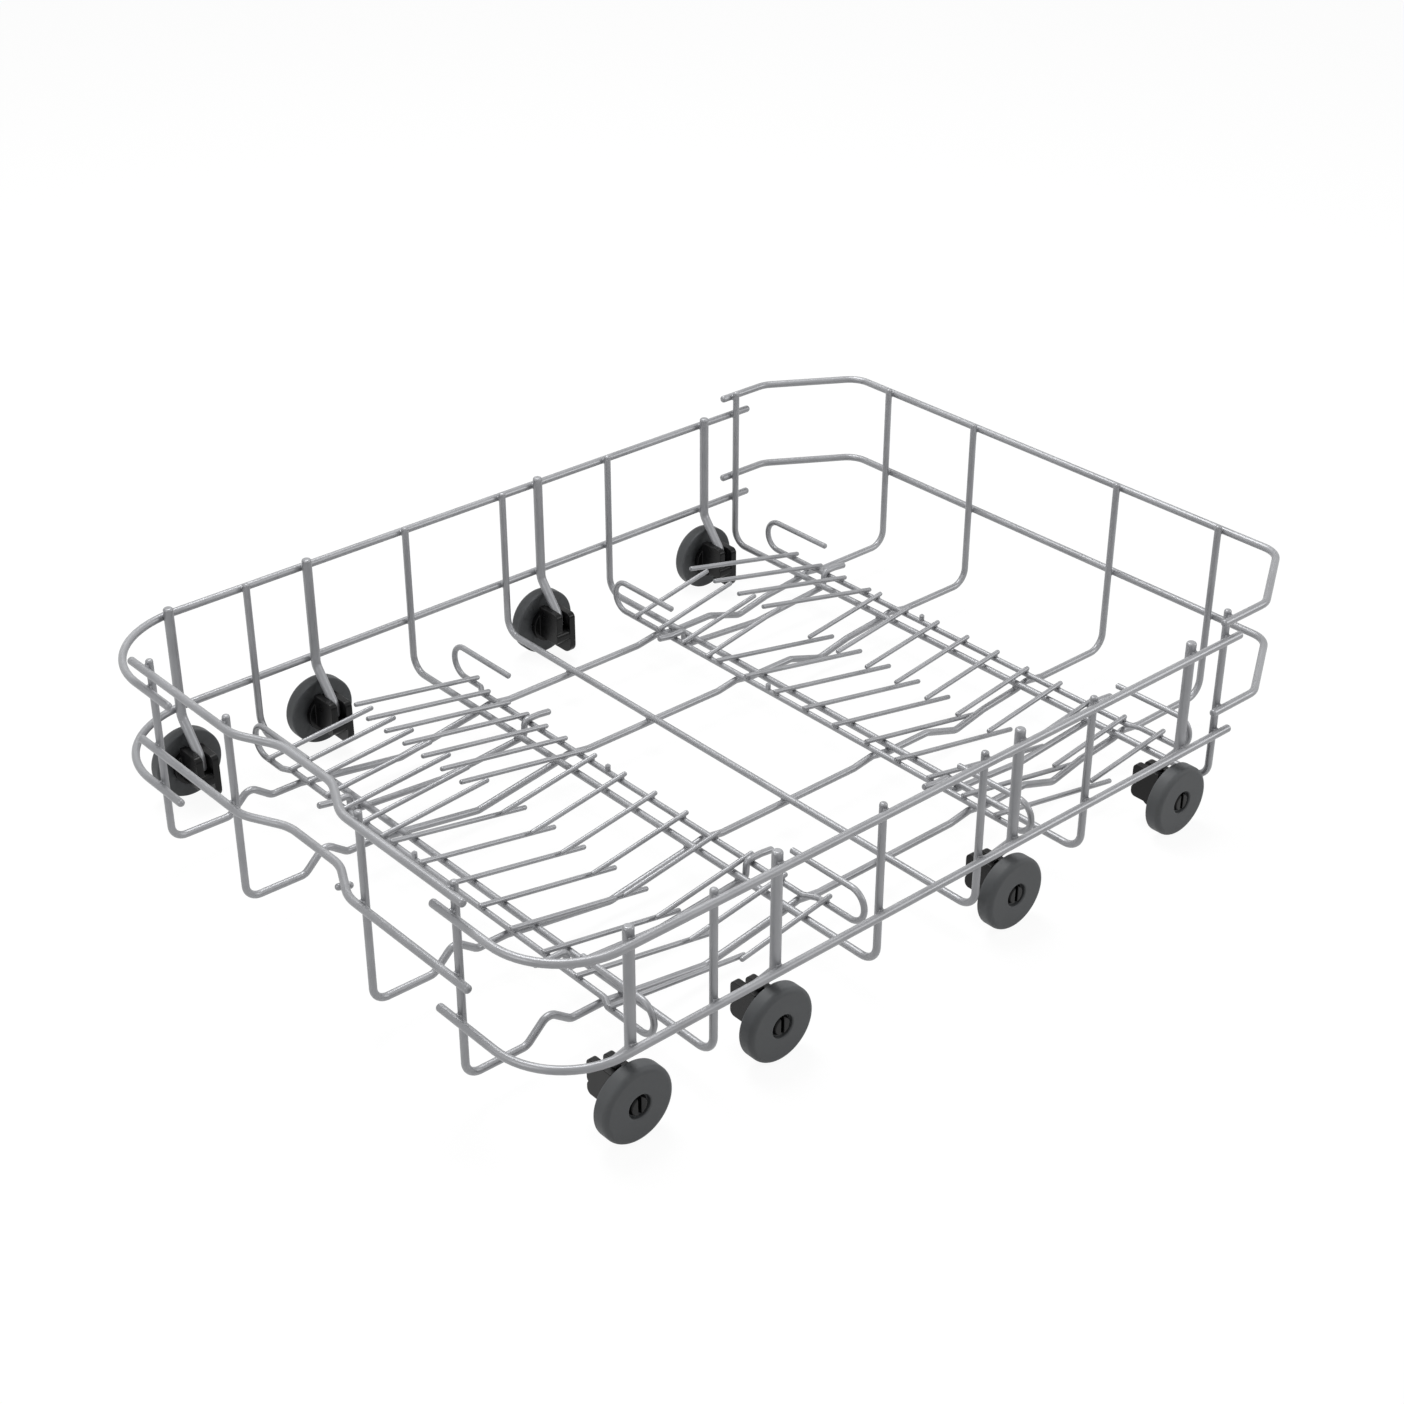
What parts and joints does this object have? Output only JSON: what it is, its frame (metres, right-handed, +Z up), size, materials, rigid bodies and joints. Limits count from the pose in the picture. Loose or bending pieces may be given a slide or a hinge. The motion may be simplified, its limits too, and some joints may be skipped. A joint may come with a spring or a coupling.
{
  "type": "dishwasher lower basket",
  "caption": "Grey coated wire basket for the bottom of a slim dishwasher, with folding plate tines and clip-on wheels along both sides.",
  "frame": {"origin": "middle of the basket on the plane that the wheels stand on", "axes": "+X right seen from the front, +Y to the back wall of the machine, +Z up"},
  "size_m": [0.3944, 0.5363, 0.1252],
  "materials": {
    "coated_wire": "satin grey plastic coating on steel wire",
    "wheel_plastic": "matte moulded dark grey",
    "clip_plastic": "half-gloss moulded black"
  },
  "bodies": {
    "frame": {"back_lower_rim_wire": "coated_wire", "back_upper_rim_wire": "coated_wire", "fifth_cross_wire": "coated_wire", "first_cross_wire": "coated_wire", "fourth_cross_wire": "coated_wire", "front_lower_rim_wire": "coated_wire", "front_rack_left_hinge_wire": "coated_wire", "front_rack_right_hinge_wire": "coated_wire", "front_upper_rim_wire": "coated_wire", "left_first_wheel_wire": "coated_wire", "left_fourth_wheel_wire": "coated_wire", "left_inner_longitudinal_wire": "coated_wire", "left_lower_rim_wire": "coated_wire", "left_outer_longitudinal_wire": "coated_wire", "left_second_wheel_wire": "coated_wire", "left_third_wheel_wire": "coated_wire", "left_upper_rim_wire": "coated_wire", "left_wheel_clips": "clip_plastic", "rear_rack_left_hinge_wire": "coated_wire", "rear_rack_right_hinge_wire": "coated_wire", "right_first_wheel_wire": "coated_wire", "right_fourth_wheel_wire": "coated_wire", "right_inner_longitudinal_wire": "coated_wire", "right_lower_rim_wire": "coated_wire", "right_outer_longitudinal_wire": "coated_wire", "right_second_wheel_wire": "coated_wire", "right_third_wheel_wire": "coated_wire", "right_upper_rim_wire": "coated_wire", "right_wheel_clips": "clip_plastic", "second_cross_wire": "coated_wire", "third_cross_wire": "coated_wire"},
    "front_rack_front_row": {"front_rack_front_tine_bar": "coated_wire", "front_rack_front_tines": "coated_wire"},
    "front_rack_rear_row": {"front_rack_rear_tine_bar": "coated_wire", "front_rack_rear_tines": "coated_wire"},
    "rear_rack_front_row": {"rear_rack_front_tine_bar": "coated_wire", "rear_rack_front_tines": "coated_wire"},
    "rear_rack_rear_row": {"rear_rack_rear_tine_bar": "coated_wire", "rear_rack_rear_tines": "coated_wire"},
    "left_first_wheel": {"left_first_wheel": "wheel_plastic"},
    "left_second_wheel": {"left_second_wheel": "wheel_plastic"},
    "left_third_wheel": {"left_third_wheel": "wheel_plastic"},
    "left_fourth_wheel": {"left_fourth_wheel": "wheel_plastic"},
    "right_first_wheel": {"right_first_wheel": "wheel_plastic"},
    "right_second_wheel": {"right_second_wheel": "wheel_plastic"},
    "right_third_wheel": {"right_third_wheel": "wheel_plastic"},
    "right_fourth_wheel": {"right_fourth_wheel": "wheel_plastic"}
  },
  "joints": [
    {"name": "front_rack_front_fold", "type": "hinge", "parent": "frame", "child": "front_rack_front_row", "pos_m": [0, -0.1834, 0.0238], "axis": [1, 0, 0], "range_deg": [0, 75]},
    {"name": "front_rack_rear_fold", "type": "hinge", "parent": "frame", "child": "front_rack_rear_row", "pos_m": [0, -0.0558, 0.0238], "axis": [-1, 0, 0], "range_deg": [0, 88]},
    {"name": "rear_rack_front_fold", "type": "hinge", "parent": "frame", "child": "rear_rack_front_row", "pos_m": [0, 0.069, 0.0238], "axis": [1, 0, 0], "range_deg": [0, 75]},
    {"name": "rear_rack_rear_fold", "type": "hinge", "parent": "frame", "child": "rear_rack_rear_row", "pos_m": [0, 0.1951, 0.0238], "axis": [-1, 0, 0], "range_deg": [0, 88]},
    {"name": "left_first_spin", "type": "hinge", "parent": "frame", "child": "left_first_wheel", "pos_m": [-0.192, -0.2184, 0.02], "axis": [1, 0, 0], "continuous": true},
    {"name": "left_second_spin", "type": "hinge", "parent": "frame", "child": "left_second_wheel", "pos_m": [-0.192, -0.1319, 0.02], "axis": [1, 0, 0], "continuous": true},
    {"name": "left_third_spin", "type": "hinge", "parent": "frame", "child": "left_third_wheel", "pos_m": [-0.192, 0.0286, 0.02], "axis": [1, 0, 0], "continuous": true},
    {"name": "left_fourth_spin", "type": "hinge", "parent": "frame", "child": "left_fourth_wheel", "pos_m": [-0.192, 0.1592, 0.02], "axis": [1, 0, 0], "continuous": true},
    {"name": "right_first_spin", "type": "hinge", "parent": "frame", "child": "right_first_wheel", "pos_m": [0.192, -0.2184, 0.02], "axis": [1, 0, 0], "continuous": true},
    {"name": "right_second_spin", "type": "hinge", "parent": "frame", "child": "right_second_wheel", "pos_m": [0.192, -0.1319, 0.02], "axis": [1, 0, 0], "continuous": true},
    {"name": "right_third_spin", "type": "hinge", "parent": "frame", "child": "right_third_wheel", "pos_m": [0.192, 0.0286, 0.02], "axis": [1, 0, 0], "continuous": true},
    {"name": "right_fourth_spin", "type": "hinge", "parent": "frame", "child": "right_fourth_wheel", "pos_m": [0.192, 0.1592, 0.02], "axis": [1, 0, 0], "continuous": true}
  ]
}
